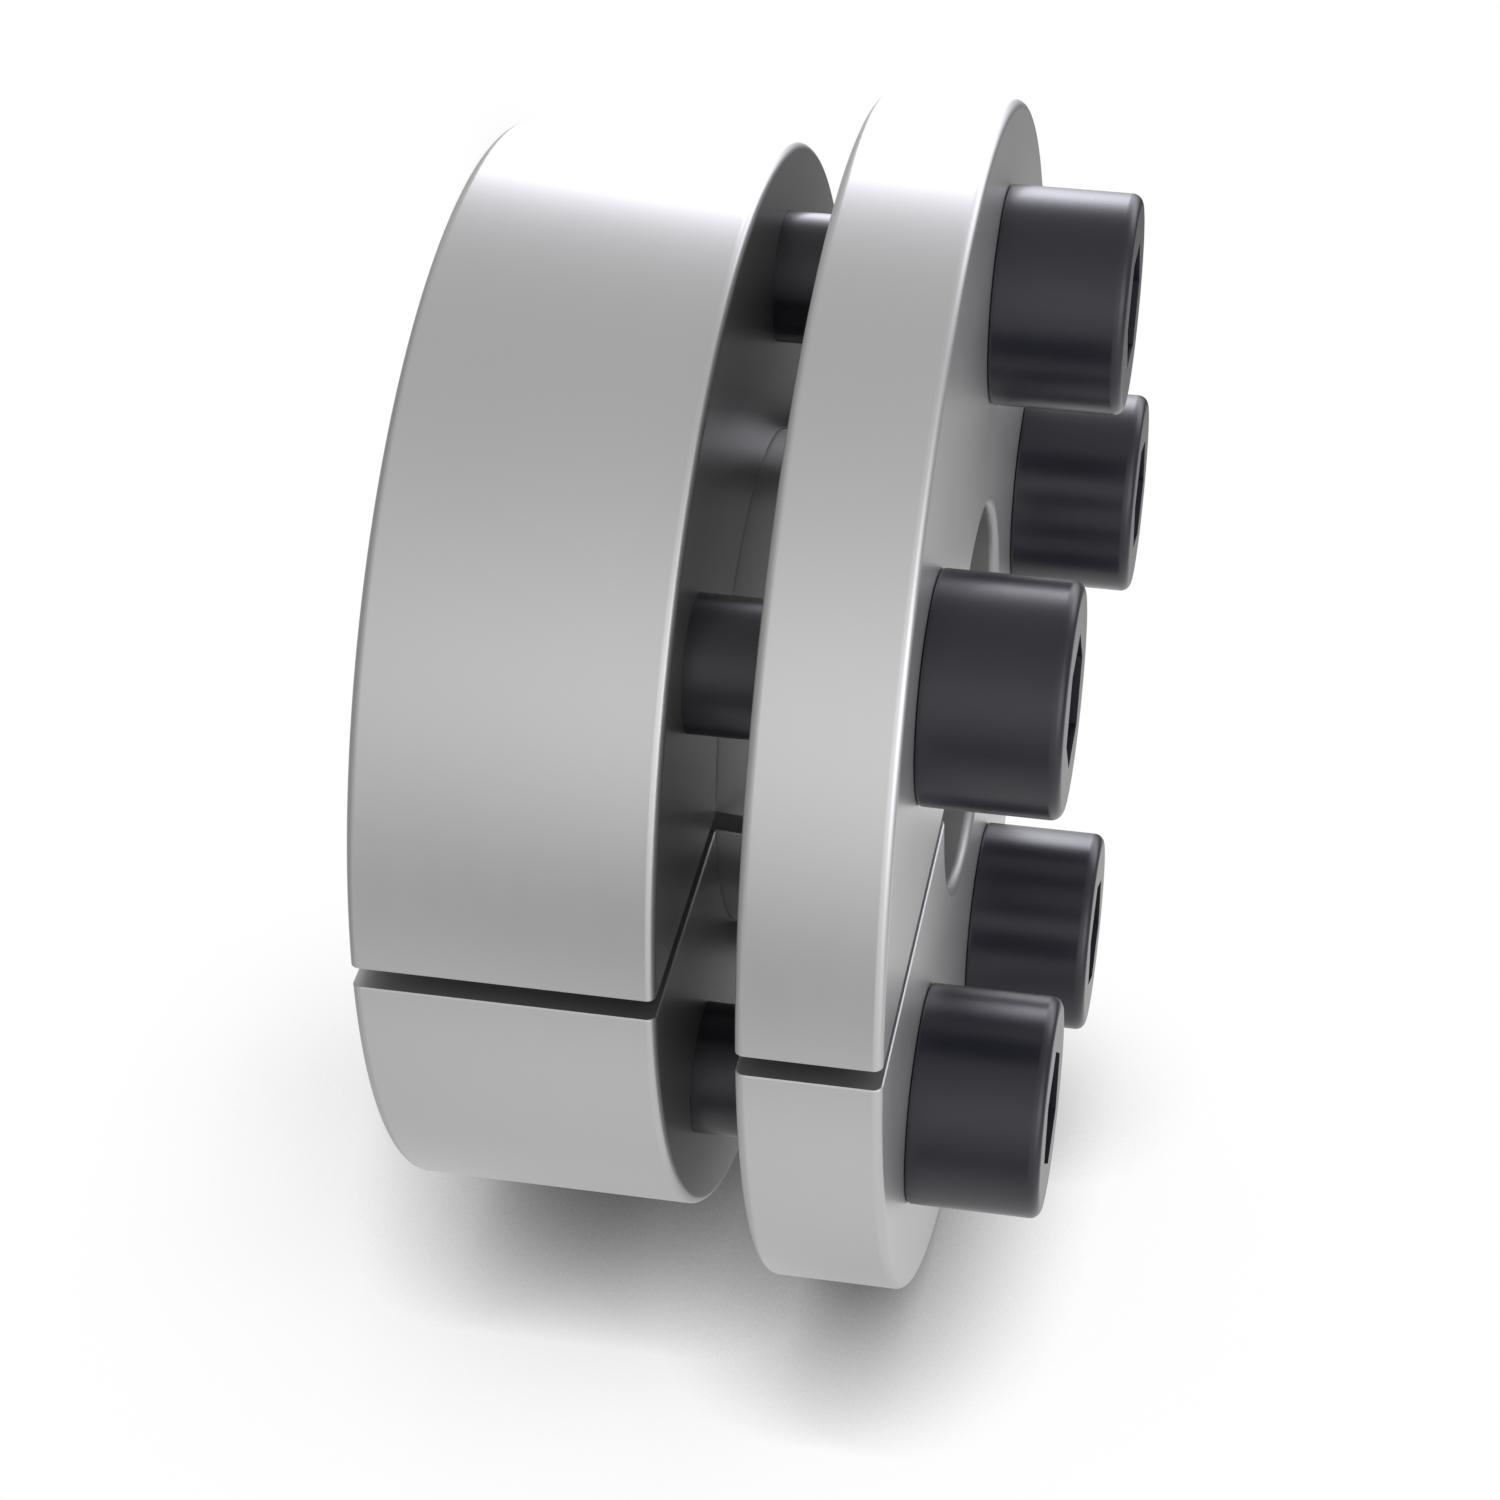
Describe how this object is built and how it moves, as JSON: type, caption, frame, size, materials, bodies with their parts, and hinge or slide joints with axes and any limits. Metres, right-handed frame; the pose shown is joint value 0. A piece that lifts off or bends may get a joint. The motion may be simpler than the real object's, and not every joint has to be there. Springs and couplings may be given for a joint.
{
  "type": "shaft locking assembly",
  "caption": "Keyless shaft locking assembly: a flanged slit sleeve with an outside cone in a slit outer ring, drawn together by cap screws to grip a shaft inside a hub.",
  "frame": {"origin": "on the axis of the shaft bore, in the plane of the outer ring's back face, on which the assembly stands", "axes": "+Z along the shaft bore, from the outer ring to the flange and the screw heads; -Y out through the slit of both rings"},
  "size_m": [0.0554, 0.0554, 0.0291],
  "materials": {
    "turned_steel": "fine turned and ground steel, satin",
    "black_screws": "black oxide on steel, satin with a soft sheen"
  },
  "bodies": {
    "root": {"flanged_inner_ring": "turned_steel", "outer_ring": "turned_steel", "screw_1": "black_screws", "screw_2": "black_screws", "screw_3": "black_screws", "screw_4": "black_screws", "screw_5": "black_screws"}
  },
  "joints": []
}
